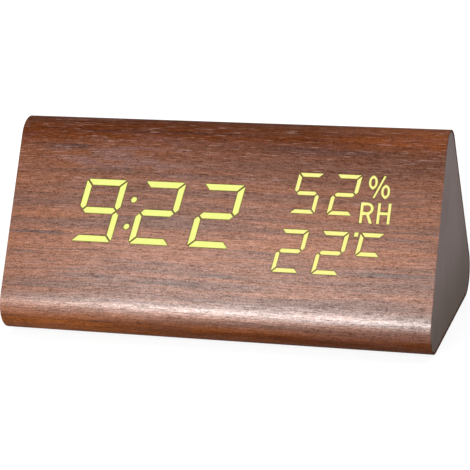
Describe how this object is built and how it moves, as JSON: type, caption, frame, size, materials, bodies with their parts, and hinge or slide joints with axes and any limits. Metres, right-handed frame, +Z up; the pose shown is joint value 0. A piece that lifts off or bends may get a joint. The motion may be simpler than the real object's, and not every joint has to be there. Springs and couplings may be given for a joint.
{
  "type": "wooden digital alarm clock",
  "caption": "Triangular wood-veneered desk clock with a display that shines through its front, a control panel at the back and a battery door underneath.",
  "frame": {"origin": "centre of the bounding box's underside, which is the plane that the four feet stand on", "axes": "+X along the case, towards the right-hand end as the display is read; the display face looks towards -Y; +Z up"},
  "size_m": [0.15, 0.0756, 0.0689],
  "materials": {
    "walnut_veneer": "satin walnut veneer",
    "fibreboard": "raw fibreboard",
    "cap_paint": "smooth matt paint on fibreboard",
    "black_plastic": "matt",
    "grey_plastic": "matt",
    "white_plastic": "matt",
    "lit_plastic": "lit from behind",
    "circuit_board": "green solder mask",
    "steel": "plated",
    "nickel": "nickel plated",
    "rubber": "matt",
    "cell_wrap": "plain printed film on steel cans",
    "red_cable": "insulation",
    "black_cable": "insulation",
    "grey_cable": "insulation"
  },
  "bodies": {
    "case": {"veneer_wrap": "walnut_veneer", "case_core": "fibreboard", "left_end_cap": "cap_paint", "right_end_cap": "cap_paint", "foot_front_left": "rubber", "foot_front_right": "rubber", "foot_rear_left": "rubber", "foot_rear_right": "rubber", "display_mask": "black_plastic", "time_light_guide": "lit_plastic", "humidity_light_guide": "lit_plastic", "temperature_light_guide": "lit_plastic", "display_board": "circuit_board", "board_screw_1": "steel", "board_screw_2": "steel", "board_screw_3": "steel", "board_screw_4": "steel", "main_chip": "black_plastic", "clock_crystal": "nickel", "coin_cell_holder": "black_plastic", "coin_cell": "nickel", "coin_cell_clip": "steel", "buzzer": "black_plastic", "control_panel": "black_plastic", "control_board": "circuit_board", "panel_screw_1": "steel", "panel_screw_2": "steel", "panel_screw_3": "steel", "panel_screw_4": "steel", "control_board_screw_1": "steel", "control_board_screw_2": "steel", "set_switch": "steel", "down_switch": "steel", "up_switch": "steel", "power_jack": "black_plastic", "climate_sensor": "white_plastic", "microphone": "nickel", "battery_tray": "black_plastic", "tray_screw_1": "steel", "tray_screw_2": "steel", "battery_1": "cell_wrap", "battery_2": "cell_wrap", "battery_3": "cell_wrap", "battery_spring_1": "nickel", "battery_spring_2": "nickel", "battery_spring_3": "nickel", "battery_contact_1": "nickel", "battery_contact_2": "nickel", "battery_contact_3": "nickel", "positive_lead": "red_cable", "negative_lead": "black_cable", "ribbon_cable": "grey_cable"},
    "set_button": {"set_button": "grey_plastic", "set_plunger": "black_plastic"},
    "down_button": {"down_button": "grey_plastic", "down_plunger": "black_plastic"},
    "up_button": {"up_button": "grey_plastic", "up_plunger": "black_plastic"},
    "battery_door": {"battery_door": "black_plastic"}
  },
  "joints": [
    {"name": "set_press", "type": "slide", "parent": "case", "child": "set_button", "axis": [0, -0.866, -0.5], "range_m": [0, 0.0006], "stiffness_N_per_m": 600},
    {"name": "down_press", "type": "slide", "parent": "case", "child": "down_button", "axis": [0, -0.866, -0.5], "range_m": [0, 0.0006], "stiffness_N_per_m": 600},
    {"name": "up_press", "type": "slide", "parent": "case", "child": "up_button", "axis": [0, -0.866, -0.5], "range_m": [0, 0.0006], "stiffness_N_per_m": 600},
    {"name": "battery_door_hinge", "type": "hinge", "parent": "case", "child": "battery_door", "pos_m": [0, 0.0177, 0.0023], "axis": [1, 0, 0], "range_deg": [0, 90]}
  ]
}
